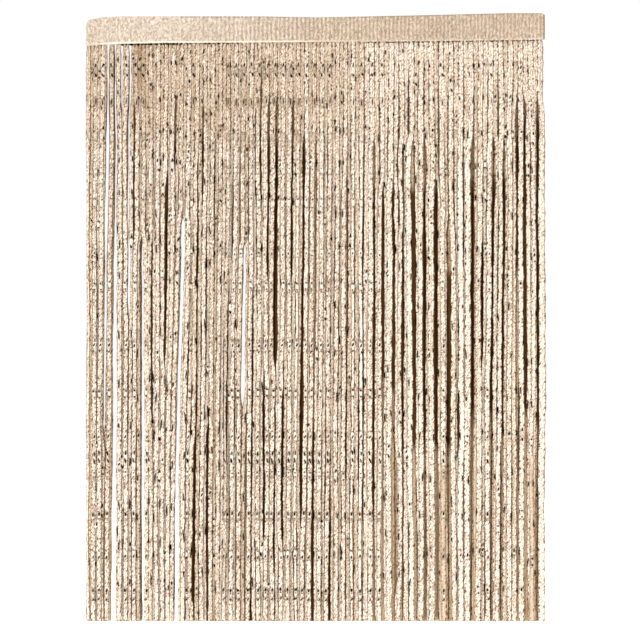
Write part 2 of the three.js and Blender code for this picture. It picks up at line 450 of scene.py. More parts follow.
def add(tree, kind, inputs=None, output=None, **settings):
    """Adds a node, gives it its settings and its inputs, and returns its output. An input is a value or
    another node's output, and its key is the socket's name or its place. The output is the one named, or else
    the first one in use."""
    node = tree.nodes.new(kind)
    for key, value in settings.items():
        setattr(node, key, value)
    named = {socket.name: socket for socket in reversed(node.inputs) if socket.enabled}
    for key, value in (inputs or {}).items():
        socket = named[key] if isinstance(key, str) else node.inputs[key]
        if isinstance(value, bpy.types.NodeSocket):
            tree.links.new(value, socket)
        else:
            socket.default_value = value
    in_use = [socket for socket in node.outputs if socket.enabled]
    if output:
        return node.outputs[output]
    return in_use[0] if in_use else None


def new_material(name):
    """An empty material and its node tree."""
    material = bpy.data.materials.new(name)
    material.use_nodes = True
    material.node_tree.nodes.clear()
    return material, material.node_tree


def knitted_polyester(name, light, mid, valley, hollow, painted_shade_colour):
    """Flat weft-knitted polyester string, matt: a column of slanting stitches on each side of a shallow
    groove and loose filaments along it. Painted shade darkens the valleys between the stitches, the groove, the
    edges and the hollows between the edges' loops, and the depth attribute mixes in a painted shade colour. A
    stitch's shade is the sine of its turns: the length over the stitch, plus the slant across, plus a waver.
    The stitches are drawn 6.4 mm long, about twice their real length, so that they show."""
    stitch = 0.0064
    slant = 1.3  # by how many stitches one slants from the groove to the edge
    waver = 2.0  # by how many stitches the fuzz moves it at most
    fuzz_per_metre = 230.0  # a tuft every 4.3 mm
    filaments_per_metre = 420.0  # a filament every 2.4 mm across the string
    filament_stretch = (1.0, 1.0, 0.07)  # drawn out along the string
    loops_per_metre = 470.0  # a loop every 2.1 mm across its own length
    loop_lean = (0.0, 0.6, 0.0)  # in radians, to the side
    loop_stretch = (1.0, 1.0, 2.4)  # drawn out along its lean
    contrast = 3.2  # how strongly filaments and loops lighten and darken the yarn
    valley_share = 0.7  # how far the strokes go towards the valley colour
    relief_height = 0.001
    material, tree = new_material(name)
    uv = add(tree, "ShaderNodeUVMap", uv_map="cloth")
    across_uv = add(tree, "ShaderNodeSeparateXYZ", {0: uv}, "X")
    down_uv = add(tree, "ShaderNodeSeparateXYZ", {0: uv}, "Y")
    place = add(tree, "ShaderNodeTexCoord", output="Object")
    fuzz = add(tree, "ShaderNodeTexNoise", {"Vector": place, "Scale": fuzz_per_metre, "Detail": 2.0})
    stretched = add(tree, "ShaderNodeMapping", {"Vector": place, "Scale": filament_stretch})
    filaments = add(
        tree, "ShaderNodeTexNoise", {"Vector": stretched, "Scale": filaments_per_metre, "Detail": 1.0}
    )
    leaning = add(
        tree, "ShaderNodeMapping", {"Vector": place, "Rotation": loop_lean, "Scale": loop_stretch},
        vector_type="TEXTURE",
    )
    grain = add(tree, "ShaderNodeTexNoise", {"Vector": leaning, "Scale": loops_per_metre, "Detail": 1.0})

    # The stitches: strokes of painted shade where the sine is low and down the groove, broken by the grain,
    # and fainter on a smooth string
    signed = add(tree, "ShaderNodeMath", {0: across_uv, 1: 2.0, 2: -1.0}, operation="MULTIPLY_ADD")
    across = add(tree, "ShaderNodeMath", {0: signed}, operation="ABSOLUTE")
    slanted = add(tree, "ShaderNodeMath", {0: across, 1: slant}, operation="MULTIPLY")
    wavering = add(tree, "ShaderNodeMath", {0: fuzz, 1: waver, 2: slanted}, operation="MULTIPLY_ADD")
    turns = add(tree, "ShaderNodeMath", {0: down_uv, 1: 1 / stitch, 2: wavering}, operation="MULTIPLY_ADD")
    angle = add(tree, "ShaderNodeMath", {0: turns, 1: 2 * np.pi}, operation="MULTIPLY")
    wave = add(tree, "ShaderNodeMath", {0: angle}, operation="SINE")
    stroke = add(tree, "ShaderNodeMapRange", {"Value": wave, "From Min": 0.15, "From Max": -0.75})
    uneven = add(tree, "ShaderNodeMapRange", {
        "Value": grain, "From Min": 0.6, "From Max": 0.43, "To Min": 0.1, "To Max": 1.1,
    })
    groove = add(tree, "ShaderNodeMapRange", {
        "Value": across, "From Min": 0.35, "From Max": 0.0, "To Max": 0.5,
    })
    smooth = add(tree, "ShaderNodeAttribute", output="Fac", attribute_name="smooth")
    rough = add(tree, "ShaderNodeMapRange", {"Value": smooth, "To Min": 1.0, "To Max": 0.15})
    broken = add(tree, "ShaderNodeMath", {0: stroke, 1: uneven}, operation="MULTIPLY")
    sunk = add(tree, "ShaderNodeMath", {0: broken, 1: groove}, operation="ADD")
    strokes = add(tree, "ShaderNodeMath", {0: sunk, 1: rough}, operation="MULTIPLY", use_clamp=True)

    # The yarn between the strokes, from mid to light by its tone, flecked by its filaments and loops
    tone = add(tree, "ShaderNodeAttribute", output="Fac", attribute_name="tone")
    lift = add(tree, "ShaderNodeMath", {0: filaments, 1: contrast, 2: -contrast}, operation="MULTIPLY_ADD")
    flecks = add(tree, "ShaderNodeMath", {0: grain, 1: contrast, 2: lift}, operation="MULTIPLY_ADD")
    lifted = add(tree, "ShaderNodeMath", {0: tone, 1: flecks}, operation="ADD", use_clamp=True)
    yarn = add(
        tree, "ShaderNodeMix", {"Factor": lifted, "A": linear(mid), "B": linear(light)}, data_type="RGBA"
    )
    low = add(
        tree, "ShaderNodeMix", {"Factor": valley_share, "A": yarn, "B": linear(valley)}, data_type="RGBA"
    )
    knit = add(tree, "ShaderNodeMix", {"Factor": strokes, "A": yarn, "B": low}, data_type="RGBA")

    # Painted shade where the edges turn from the light, more on the right, and in the hollows between
    # their loops
    curve = add(tree, "ShaderNodeMapRange", {"Value": across, "From Min": 0.55, "From Max": 1.0})
    lee = add(tree, "ShaderNodeMath", {0: signed, 1: 0.25, 2: 0.46}, operation="MULTIPLY_ADD")
    side = add(tree, "ShaderNodeMath", {0: curve, 1: lee}, operation="MULTIPLY")
    rounded = add(tree, "ShaderNodeMix", {"Factor": side, "A": knit, "B": linear(valley)}, data_type="RGBA")
    rim = add(tree, "ShaderNodeMapRange", {"Value": across, "From Min": 0.25, "From Max": 0.65})
    sunken = add(tree, "ShaderNodeMapRange", {"Value": grain, "From Min": 0.455, "From Max": 0.38})
    pits = add(tree, "ShaderNodeMath", {0: rim, 1: sunken}, operation="MULTIPLY", use_clamp=True)
    pitted = add(tree, "ShaderNodeMix", {"Factor": pits, "A": rounded, "B": linear(hollow)}, data_type="RGBA")
    # Painted shade: the depth attribute mixes towards the painted shade colour
    depth = add(tree, "ShaderNodeAttribute", output="Fac", attribute_name="depth")
    colour = add(tree, "ShaderNodeMix", {"Factor": depth, "A": pitted, "B": linear(painted_shade_colour)}, data_type="RGBA")

    height = add(tree, "ShaderNodeMath", {0: filaments, 1: 1.5}, operation="MULTIPLY")
    relief = add(tree, "ShaderNodeMath", {0: height, 1: strokes}, operation="SUBTRACT")
    bump = add(tree, "ShaderNodeBump", {"Strength": 1.0, "Distance": relief_height, "Height": relief})
    cloth = add(tree, "ShaderNodeBsdfPrincipled", {
        "Base Color": colour, "Roughness": 0.8, "IOR": 1.5, "Specular IOR Level": 0.03, "Normal": bump,
    })
    add(tree, "ShaderNodeOutputMaterial", {"Surface": cloth})
    return material


def woven_tape():
    """Ribbed woven polyester tape, cream and matt, with a fine slanting twill over its ribs, painted shade
    between the ribs and towards the right, and a paler hem.
    The twill's shade is the sine of its turns: the slanted distance over the twill, plus a waver. It is drawn
    4.4 mm wide, about three times its real width, so that it shows."""
    twill = 0.0044
    slope = 0.9  # how far the twill slants along the tape for each length down it
    waver = 2.9  # by how many twills the mottle moves it
    mottle_per_metre = 160.0  # a spot every 6.3 mm
    clouds_per_metre = 22.0  # a cloud every 45 mm
    threads_per_metre = 380.0  # a thread every 2.6 mm along the tape
    thread_stretch = (1.0, 1.0, 0.6)  # drawn out upwards
    lit, painted_shade_tint = (1, 1, 1, 1), (0.89, 0.86, 0.82, 1)
    relief_height = 0.0005
    material, tree = new_material("woven_polyester_tape")
    uv = add(tree, "ShaderNodeUVMap", uv_map="cloth")
    along_uv = add(tree, "ShaderNodeSeparateXYZ", {0: uv}, "X")
    down_uv = add(tree, "ShaderNodeSeparateXYZ", {0: uv}, "Y")
    place = add(tree, "ShaderNodeTexCoord", output="Object")
    mottle = add(tree, "ShaderNodeTexNoise", {"Vector": place, "Scale": mottle_per_metre, "Detail": 2.0})
    cloud = add(tree, "ShaderNodeTexNoise", {"Vector": place, "Scale": clouds_per_metre, "Detail": 2.0})
    upright = add(tree, "ShaderNodeMapping", {"Vector": place, "Scale": thread_stretch})
    threads = add(tree, "ShaderNodeTexNoise", {"Vector": upright, "Scale": threads_per_metre, "Detail": 1.0})

    # The twill, fainter in patches, over uneven threads
    slanted = add(tree, "ShaderNodeMath", {0: down_uv, 1: slope, 2: along_uv}, operation="MULTIPLY_ADD")
    wavering = add(tree, "ShaderNodeMath", {0: mottle, 1: waver}, operation="MULTIPLY")
    turns = add(tree, "ShaderNodeMath", {0: slanted, 1: 1 / twill, 2: wavering}, operation="MULTIPLY_ADD")
    angle = add(tree, "ShaderNodeMath", {0: turns, 1: 2 * np.pi}, operation="MULTIPLY")
    wave = add(tree, "ShaderNodeMath", {0: angle}, operation="SINE")
    patchy = add(tree, "ShaderNodeMapRange", {
        "Value": cloud, "From Min": 0.35, "From Max": 0.65, "To Min": 0.1, "To Max": 0.5,
    })
    uneven = add(tree, "ShaderNodeMath", {0: threads, 1: 2.0, 2: -0.45}, operation="MULTIPLY_ADD")
    weave = add(
        tree, "ShaderNodeMath", {0: wave, 1: patchy, 2: uneven}, operation="MULTIPLY_ADD", use_clamp=True
    )
    cream = add(tree, "ShaderNodeMix", {
        "Factor": weave, "A": linear("#95836e"), "B": linear("#dbd3c8"),
    }, data_type="RGBA")

    # Painted shade dims the tape towards the right and darkens it between its ribs; it is paler along its hem
    turned = add(tree, "ShaderNodeAttribute", output="Fac", attribute_name="turned")
    dimmer = add(tree, "ShaderNodeMix", {"Factor": turned, "A": lit, "B": painted_shade_tint}, data_type="RGBA")
    dimmed = add(
        tree, "ShaderNodeMix", {"Factor": 1.0, "A": cream, "B": dimmer}, data_type="RGBA",
        blend_type="MULTIPLY",
    )
    rib = add(tree, "ShaderNodeAttribute", output="Fac", attribute_name="rib")
    shaded = add(tree, "ShaderNodeMix", {
        "Factor": rib, "A": linear("#6f553b"), "B": dimmed,
    }, data_type="RGBA")
    hem = add(tree, "ShaderNodeAttribute", output="Fac", attribute_name="hem")
    colour = add(tree, "ShaderNodeMix", {
        "Factor": hem, "A": shaded, "B": linear("#ece2d6"),
    }, data_type="RGBA")
    bump = add(tree, "ShaderNodeBump", {"Strength": 0.8, "Distance": relief_height, "Height": weave})
    cloth = add(tree, "ShaderNodeBsdfPrincipled", {
        "Base Color": colour, "Roughness": 0.8, "IOR": 1.5, "Specular IOR Level": 0.05, "Normal": bump,
    })
    add(tree, "ShaderNodeOutputMaterial", {"Surface": cloth})
    return material


def pearl_sequin_painted_highlight():
    """Pressed PET sequin with a pearly champagne coat: smooth and glossy, with a painted highlight that makes
    it paler at its domed middle than at its rim.
    """
    material, tree = new_material("pearl_sequin_painted_highlight")
    uv = add(tree, "ShaderNodeUVMap", uv_map="cloth")
    radius = add(tree, "ShaderNodeVectorMath", {0: uv}, "Value", operation="LENGTH")
    # A painted highlight: paler at the middle, darker towards the rim
    edge = add(tree, "ShaderNodeMapRange", {"Value": radius, "From Min": 0.3, "From Max": 1.0})
    colour = add(tree, "ShaderNodeMix", {
        "Factor": edge, "A": linear("#dfd5c7"), "B": linear("#a8967f"),
    }, data_type="RGBA")
    shell = add(tree, "ShaderNodeBsdfPrincipled", {
        "Base Color": colour, "Roughness": 0.3, "IOR": 1.57,
        "Coat Weight": 0.15, "Coat Roughness": 0.15,
    })
    add(tree, "ShaderNodeOutputMaterial", {"Surface": shell})
    return material


def matt_sequin():
    """Pressed PET sequin turned from the light, matt: as pale as the string that it hangs on, and mottled."""
    spots_per_metre = 380.0  # a spot every 2.6 mm
    material, tree = new_material("matt_sequin")
    place = add(tree, "ShaderNodeTexCoord", output="Object")
    speckle = add(tree, "ShaderNodeTexNoise", {"Vector": place, "Scale": spots_per_metre})
    tone = add(tree, "ShaderNodeAttribute", output="Fac", attribute_name="tone")
    lift = add(tree, "ShaderNodeMath", {0: speckle, 1: 3.0, 2: -1.6}, operation="MULTIPLY_ADD")
    lifted = add(tree, "ShaderNodeMath", {0: tone, 1: lift}, operation="ADD", use_clamp=True)
    colour = add(tree, "ShaderNodeMix", {
        "Factor": lifted, "A": linear("#a3947f"), "B": linear("#e9e2d6"),
    }, data_type="RGBA")
    shell = add(tree, "ShaderNodeBsdfPrincipled", {
        "Base Color": colour, "Roughness": 0.6, "IOR": 1.57, "Specular IOR Level": 0.1,
    })
    add(tree, "ShaderNodeOutputMaterial", {"Surface": shell})
    return material


def plain_finish(name, colour, roughness):
    """A matt finish of one colour with a fine mottle, for pieces a few pixels across."""
    spots_per_metre = 400.0  # a spot every 2.5 mm
    darkening = 0.6
    material, tree = new_material(name)
    place = add(tree, "ShaderNodeTexCoord", output="Object")
    speckle = add(tree, "ShaderNodeTexNoise", {"Vector": place, "Scale": spots_per_metre})
    mottle = add(tree, "ShaderNodeMapRange", {"Value": speckle, "From Min": 0.35, "From Max": 0.6})
    pale = linear(colour)
    dark = (*(darkening * part for part in pale[:3]), 1.0)
    mixed = add(tree, "ShaderNodeMix", {"Factor": mottle, "A": dark, "B": pale}, data_type="RGBA")
    finish = add(tree, "ShaderNodeBsdfPrincipled", {
        "Base Color": mixed, "Roughness": roughness, "Specular IOR Level": 0.0,
    })
    add(tree, "ShaderNodeOutputMaterial", {"Surface": finish})
    return material


def ride_as(piece, slot, *nodes):
    """The piece hangs with the curtain and stands for the solids named. The slot is not used."""
    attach(piece, "root")
    if nodes:
        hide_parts(*nodes)
    return piece


def tape_cloth():
    """The header tape as one doubled sheet. Around it run the rows of a flat section with rounded edges, a
    sewn groove and a corded hem, and along it the ribs, whose height is the absolute cosine of the place over
    the rib pitch. Each row of the section has its distance down, its share of the tape's thickness, and how
    much of the shade between the ribs it hides."""
    section = [
        {"down": 0.0, "swell": 0.25, "crest": -0.25},
        {"down": 0.6, "swell": 0.8, "crest": -0.1},
        {"down": 2.0, "swell": 1.0, "crest": 0.1},
        {"down": 3.2, "swell": 1.0, "crest": 0.55},
        {"down": 12.0, "swell": 1.0, "crest": 0.5},
        {"down": 24.0, "swell": 0.96, "crest": 0.5},
        {"down": 36.0, "swell": 1.0, "crest": 0.5},
        {"down": 48.0, "swell": 1.0, "crest": 0.5},
        {"down": 50.5, "swell": 0.8, "crest": 0.5},
        {"down": 52.0, "swell": 0.7, "crest": 0.7},
        {"down": 53.4, "swell": 1.15, "crest": 1.0},
        {"down": 55.4, "swell": 1.25, "crest": 1.0},
        {"down": 56.4, "swell": 1.0, "crest": 1.0},
        {"down": 57.0, "swell": 0.35, "crest": 0.3},
    ]
    rib_steps = 8
    rib_depth = 0.6
    hem_rib_depth = 0.25
    x = np.linspace(-WIDTH / 2, WIDTH / 2, RIB_COUNT * rib_steps + 1)
    count = x * RIB_COUNT / WIDTH + RIB_CROWDING * (2 * x / WIDTH) ** 2
    rib = np.abs(np.cos(np.pi * count))
    top, foot = along(TAPE_EDGES, "top", x), along(TAPE_EDGES, "foot", x)
    down, swell, crest = column(section, "down"), column(section, "swell"), column(section, "crest")
    z = top[:, None] + (foot - top)[:, None] * down / TAPE_HEIGHT
    relief = np.where(down > TAPE_HEIGHT - HEM_HEIGHT, hem_rib_depth, rib_depth)
    half = swell * (TAPE_THICKNESS / 2 - relief * (1 - rib[:, None]))

    # Held at its top and foot, the tape bows to the front and back and bends its ribs a little between them
    free = np.sin(np.pi * down / TAPE_HEIGHT)
    ripple = 0.5 * np.sin(x / 37) + 0.4 * np.sin(x / 16.3 + 1.3) + 0.25 * np.sin(x / 7.1)
    bow = ripple[:, None] * free
    off_ends = smoothstep(WIDTH / 2 - np.abs(x), 0, 30)
    bend = (1.1 * off_ends * np.sin(x / 41 + 1))[:, None] * free
    front = np.stack([x[:, None] + bend, bow - half, z], -1)
    back = np.stack([x[:, None] + bend, bow + half, z], -1)[:, ::-1]
    points = np.concatenate([front, back], 1)
    around = np.concatenate([down, 2 * TAPE_HEIGHT - down[::-1]])
    uv = np.stack(np.broadcast_arrays(x[:, None] * MM, around * MM), -1)

    # The shade between the ribs is fainter at the left, and so are its dots along the tape's top. A darker
    # line edges the top at the right and the right end.
    below_dots = down > 3
    plainer = 0.75 * (1 - smoothstep(x, -330, -60)) + 0.05 * smoothstep(x, 240, 330)
    no_dots = 1 - smoothstep(x, -310, -250)
    crest = crest + (1 - crest) * np.where(below_dots, plainer[:, None], no_dots[:, None])
    shades = np.clip(crest + (1 - crest) * rib[:, None], 0, 1)
    top_line = smoothstep(x, 60, 200)[:, None] * (down < 1.5)
    end_line = smoothstep(x, 446.5, 448.5)[:, None]
    shades = shades * (1 - 0.7 * np.maximum(top_line, end_line))

    # The hem is paler, less so and unevenly towards the right
    kept_paleness = 1 - smoothstep(x, -260, -180) * (0.4 + 0.25 * np.sin(x / 9) * np.sin(x / 23))
    paleness = 0.1 + 0.8 * kept_paleness * smoothstep(x, -445, -405) * (1 - smoothstep(x, -60, 120))
    on_hem = (down > 52.5) & (down < 56.8)
    pale = paleness[:, None] * on_hem
    rows, sides = points.shape[:2]
    # Painted shade: the tape grows dimmer towards the right
    turned = np.broadcast_to(smoothstep(x, -220, 160)[:, None], (rows, sides))
    attributes = {
        "rib": np.concatenate([shades, shades[:, ::-1]], 1),
        "hem": np.concatenate([pale, pale[:, ::-1]], 1),
        "turned": turned,
    }
    faces = tube_faces(rows, sides)
    cloth = mesh_of(
        "header_tape_cloth", points.reshape(1, -1, 3), faces, [woven_tape()], uv=uv, attributes=attributes
    )
    return ride_as(cloth, "tape", "header_tape")


def string_lines(row):
    """The line of each string in a row, as arrays of strings by steps: its place, its length so far, its
    width and its twist. A string hangs where the partings let its root hang, plus a slow sway, and in depth
    it moves from its ply to its layer. Its width is its share of the pitch times one plus a slow wandering,
    and its twist wanders too. Away from the partings a few front strings are narrow cords, and a few others
    turn part of the way round."""
    roots = np.concatenate([np.linspace(*run) for run in row["runs"]])
    count = len(roots)
    front = row["name"] == "front"
    partings = [parting for parting in PARTINGS + SLITS if front or "through" in parting]
    layer = np.arange(count) % 2
    pitch = np.gradient(roots)[:, None]
    to_parting = np.abs(roots[:, None] - column(partings, "x")).min(1)[:, None]
    beside = to_parting < BESIDE_PITCHES * pitch
    root_z = along(TAPE_EDGES, "foot", roots)[:, None] + ROOT_TUCK
    z = root_z + (-DROP - root_z) * np.linspace(0, 1, row["steps"])
    length = root_z - z
    looser = smoothstep(roots, *LOOSER)[:, None]
    below_top = smoothstep(length, *BELOW_TOP)

    sway = wander(count, length, [620, 270, 90, 41], 1.3) + wander(count, length, [47, 29], 0.35)
    sway = sway * smoothstep(length, 20, 300)
    reach = row["reach"] + (1.5 * smoothstep(roots, 60, 130)[:, None] if front else 0)
    shift = random.uniform(-2.5, 2.5, (count, 1)) * looser
    x = hanging_place(roots[:, None] + shift * smoothstep(length, 20, 140), z, partings, reach) + sway

    fanned = smoothstep(length, 0, FAN_LENGTH)
    layered = 0.3 * fanned + 0.7 * smoothstep(length, 80, 320)
    middle = np.mean(row["layers"])
    off_middle = np.array(row["layers"])[layer][:, None] - middle
    y = row["ply"] + (middle - row["ply"]) * fanned + off_middle * layered
    y = y + wander(count, length, [500, 170], 0.5) * smoothstep(length, 20, 200)

    kind = random.random((count, 1))
    cords_above = 0.92 - 0.2 * looser  # so at most 8 strings in 100 are cords, and 28 where they are looser
    turned_below = 0.1
    cord = (kind > cords_above) & ~beside & front
    cord = cord & ~np.roll(cord, 1, 0)
    beside_cord = np.roll(cord, 1, 0) | np.roll(cord, -1, 0)
    turned = (kind < turned_below) & ~beside & front

    width = pitch * np.array(row["fills"])[layer][:, None]
    width = width * (1 + wander(count, length, [160, 70, 33], 0.1) + wander(count, length, [43, 27], 0.06))
    cord_wider, beside_cord_wider = -0.42, 0.16
    wider = np.where(cord, cord_wider, np.where(beside_cord, beside_cord_wider, 0))
    width = width * (1 + below_top * wider)
    width = width * (ROOT_SHARE + (1 - ROOT_SHARE) * smoothstep(length, 0, ROOT_PINCH))
    if row["name"] == "inner":
        gaps = np.pad(np.diff(x, axis=0), ((1, 1), (0, 0)), mode="edge")
        covering = INNER_OVERLAP * np.maximum(gaps[:-1], gaps[1:])
        width = np.where(beside, width, np.maximum(width, covering))
    if front:
        at_parting, elsewhere = random.uniform(-0.3, 0.1, (count, 1)), random.uniform(-0.12, 0.3, (count, 1))
        width = width * (1 + looser * np.where(beside, at_parting, elsewhere) * below_top)
        width = width * (1.05 - 0.05 * smoothstep(length, 60, 260))
        width = width * (1 + EDGE_ROUGHNESS * edge_random.uniform(-1, 1, width.shape))

    way = random.choice([-1, 1], (count, 1))
    turn = np.where(turned, way * random.uniform(35, 60, (count, 1)), 0) * smoothstep(length, 120, 320)
    wobble = wander(count, length, [700, 310, 120], 24)
    steadied = np.where(beside | cord, STEADIED, 1)
    twist = np.radians(turn + steadied * wobble) * smoothstep(length, 10, 120)
    if not front:
        twist = STEADIED * twist
    return {
        "x": x, "y": y, "z": z, "width": width, "twist": twist, "length": length, "roots": roots,
        "layer": layer, "cord": cord, "facing": -1 if row["layers"][0] < 0 else 1,
    }


def inner_painted_shade(x, z):
    """How much shade is painted on the inner strings at a place: painted between the two heights of the band,
    but not beside the partings where they are lit."""
    top, foot = along(PAINTED_SHADE_BAND, "top", x), along(PAINTED_SHADE_BAND, "foot", x)
    dark = smoothstep(top - z, -DARK_FADES, DARK_FADES) * smoothstep(z - foot, 0, 2 * DARK_FADES)
    settled = smoothstep(-z, 0, DROP)
    for parting in PARTINGS:
        if parting.get("lit"):
            away = np.abs(x - parting["x"] - settled * parting["lean"])
            dark = dark * smoothstep(away, *LIT_BESIDE)
    return dark


def under_tape(z):
    """1 close under the tape, falling to 0 further down."""
    return 1 - smoothstep(-z, 150, 320)


def string_shades(row, lines):
    """The shade of each string in a row, as arrays of strings by steps: its tone, 0 for mid and 1 for light,
    its depth, the painted shade that mixes in the knit's shade colour, and how smooth it is. A string's tone
    is its own plus a slow wandering. The layer behind is darker, as painted shade, and so are the strings
    close under the tape, but not at the right."""
    x, z, length = lines["x"], lines["z"], lines["length"]
    count = len(lines["roots"])
    cord_tone = 0.75
    cord_smooth = 0.7
    lighter = 0.36
    behind_darker = 0.26
    duller_darker = 0.66
    behind_depth = 0.1
    shaded_depth = 0.4
    cord = lines["cord"] * smoothstep(length, *BELOW_TOP)
    own_tone = random.uniform(0.0, 1.0, (count, 1)) * (1 - cord) + cord_tone * cord
    tone = own_tone + wander(count, length, [420, 150, 60], 0.25)
    behind = np.where(lines["layer"] == 1, 1, 0)[:, None]
    duller = under_tape(z) * (1 - smoothstep(x, -60, 160))
    # Painted shade makes the layer behind darker; the strings close under the tape are duller too
    tone = np.clip(tone + lighter - behind_darker * behind * (1 + duller) - duller_darker * duller, 0, 1)
    smoother = smoothstep(x, 80, 200) * smoothstep(-z, 180, 330)
    smooth = np.maximum(cord_smooth * cord, random.uniform(0, 0.6, (count, 1)) * smoother)
    if row["name"] == "inner":
        # Painted shade on the whole inner row, a little more low on the right, and full in its band
        low_right = smoothstep(x, *LOOSER) * smoothstep(-z, 700, 820)
        least_depth = 0.15 + 0.1 * low_right
        depth = least_depth + (1 - least_depth) * inner_painted_shade(x, z)
        smooth = np.maximum(smooth, 0.8 * low_right)
    else:
        # Painted shade on the layer behind
        depth = behind_depth * behind * (1 + duller)
    if row["name"] == "front":
        # Painted shade on the front strings in the patches of SHADED_STRINGS
        shaded = np.zeros_like(tone)
        for patch in SHADED_STRINGS:
            within = (x > patch["left"]) & (x < patch["right"])
            shaded = np.maximum(shaded, within * smoothstep(patch["top"] - z, 0, 60))
        tone = tone * (1 - shaded)
        depth = np.maximum(depth, shaded_depth * shaded)
        smooth = np.maximum(smooth, shaded)
    return tone, depth, smooth


def string_row(row, material):
    """A row of knitted strings. Each is a flat section of two wales with a groove between them, carried down
    its line: the section's corner at a across and b through lies at a times half the width along the turned
    ribbon and b times half the thickness square to it. Its tone slopes from edge to edge with a, as painted
    shade that leaves one edge lighter than the other."""
    lines = string_lines(row)
    x, z, length = lines["x"], lines["z"], lines["length"]
    section = np.array(STRING_SECTION)
    if lines["facing"] > 0:
        section = -section
    a, b = section[:, 0], section[:, 1]
    half = lines["width"][..., None] / 2 * a
    through = STRING_THICKNESS / 2 * b
    cos, sin = np.cos(lines["twist"])[..., None], np.sin(lines["twist"])[..., None]
    points = np.stack([
        x[..., None] + half * cos - through * sin,
        lines["y"][..., None] + half * sin + through * cos,
        np.broadcast_to(z[..., None], half.shape),
    ], -1)
    count = len(lines["roots"])
    first_stitch = random.uniform(0, 60, (count, 1))
    down = (length + first_stitch) * MM
    uv = np.stack(np.broadcast_arrays((a + 1) / 2, down[..., None]), -1)

    tone, depth, smooth = string_shades(row, lines)
    # Painted shade: each string's tone slopes from one edge to the other, and the leftmost strings are darker
    slope = random.uniform(-0.5, 0.5, (count, 1)) + wander(count, length, [300, 130], 0.3)
    left_edge = 1 - smoothstep(x, -445, -440)
    sloped = (tone * (1 - 0.7 * left_edge))[..., None] + slope[..., None] * a

    # Close under the tape at the left painted shade darkens the strings' edges, and a painted shadow falls on
    # a few strings
    shadow_x = -345
    shadow_reach = 14
    shadow_depth = 0.4
    stripe_depth = 0.3
    striped = under_tape(z) * (1 - smoothstep(x, -330, -230))
    shadow = smoothstep(shadow_reach - np.abs(x - shadow_x), 0, 8) * smoothstep(z, -170, -110)
    edges = stripe_depth * striped[..., None] * a**2 + shadow_depth * shadow[..., None]
    attributes = {
        "tone": np.clip(sloped, 0, 1),
        "depth": np.clip(depth[..., None] + edges, 0, 1),
        "smooth": np.broadcast_to(smooth[..., None], half.shape),
    }
    faces = tube_faces(row["steps"], len(a))
    name = f"strings_{row['name']}"
    piece = mesh_of(
        f"{name}_knit", points.reshape(count, -1, 3), faces, [material], uv=uv, attributes=attributes
    )
    ride_as(piece, "inner_string" if row["name"] == "inner" else "string", name)
    lines["tone"] = tone
    return lines


def sequin_body():
    """One sequin on a unit circle, as its corners, its faces, each face's look and each eye's corners: its
    domed front, its hollow reverse, and three sewing eyes. The dome's height falls about with the radius
    squared. An eye is a flat lozenge about its own middle."""
    inner_radius = 0.55
    inner_height = 0.72
    hollow_height = 0.7
    dome_look, reverse_look, first_eye_look = 0, 1, 2
    turn = 2 * np.pi * np.arange(SEQUIN_SIDES) / SEQUIN_SIDES
    ring = np.stack([np.cos(turn), np.sin(turn)], -1)
    inner = [[inner_radius * u, inner_radius * v, inner_height] for u, v in ring]
    rim = [[u, v, 0] for u, v in ring]
    corners = [[0, 0, 1], *inner, *rim, [0, 0, hollow_height]]
    hollow = len(corners) - 1
    faces, looks = [], []
    for i in range(SEQUIN_SIDES):
        j = (i + 1) % SEQUIN_SIDES
        inner_i, inner_j = 1 + i, 1 + j
        rim_i, rim_j = 1 + SEQUIN_SIDES + i, 1 + SEQUIN_SIDES + j
        faces += [(0, inner_i, inner_j), (inner_i, rim_i, rim_j, inner_j), (rim_j, rim_i, hollow)]
        looks += [dome_look, dome_look, reverse_look]
    spin = 2 * np.pi * np.arange(EYE_SIDES) / EYE_SIDES
    eye_parts = []
    for eye in range(3):
        start = len(corners)
        front, back = start + EYE_SIDES, start + EYE_SIDES + 1
        corners += [[np.cos(angle), np.sin(angle), 0] for angle in spin]
        corners += [[0, 0, 1], [0, 0, -1]]
        for i in range(EYE_SIDES):
            j = (i + 1) % EYE_SIDES
            faces += [(front, start + i, start + j), (start + j, start + i, back)]
            looks += [first_eye_look + eye] * 2
        eye_parts.append(slice(start, len(corners)))
    return np.array(corners, float), faces, np.array(looks), eye_parts


def sequin_heights(lines):
    """Which string each sequin hangs on, the row of sequins that it belongs to, its height, and whether its
    string is in step with its neighbours. A string out of step has all its sequins higher by one length."""
    count = len(lines["roots"])
    outer_share = 0.92  # of the outer layer's strings, where they are in step
    behind_share = 0.04  # of the layer behind it there
    elsewhere_share = 0.08
    most_higher = 80
    unsteadiness = 1.0
    orderly = np.any([(lines["roots"] > start) & (lines["roots"] < end) for start, end in IN_STEP], axis=0)
    orderly_share = np.where(lines["layer"] == 0, outer_share, behind_share)
    in_step = (random.random(count) < np.where(orderly, orderly_share, elsewhere_share))[:, None]
    levels = column(SEQUIN_ROWS, "z")
    higher = np.where(in_step, 0, random.uniform(0, most_higher, (count, 1)))
    heights = levels + higher + random.normal(0, unsteadiness, (count, len(levels)))
    kept = (heights < HIGHEST_SEQUIN) & (heights > LOWEST_SEQUIN)
    kept &= (np.abs(lines["roots"]) < WIDTH / 2 - SEQUIN_MARGIN)[:, None]
    kept[:, TALL_EYES] &= in_step[:, 0]
    which, order = np.nonzero(kept)
    return which, order, heights[kept], in_step[which, 0]


def value_at(lines, key, which, height):
    """A value of the string that each sequin hangs on, at the sequin's height: a straight line between the
    string's steps."""
    z = lines["z"]
    step = (z[which, 0] - height) / (z[which, 0] - z[which, -1]) * (z.shape[1] - 1)
    low = np.clip(step.astype(int), 0, z.shape[1] - 2)
    share = step - low
    return lines[key][which, low] * (1 - share) + lines[key][which, low + 1] * share


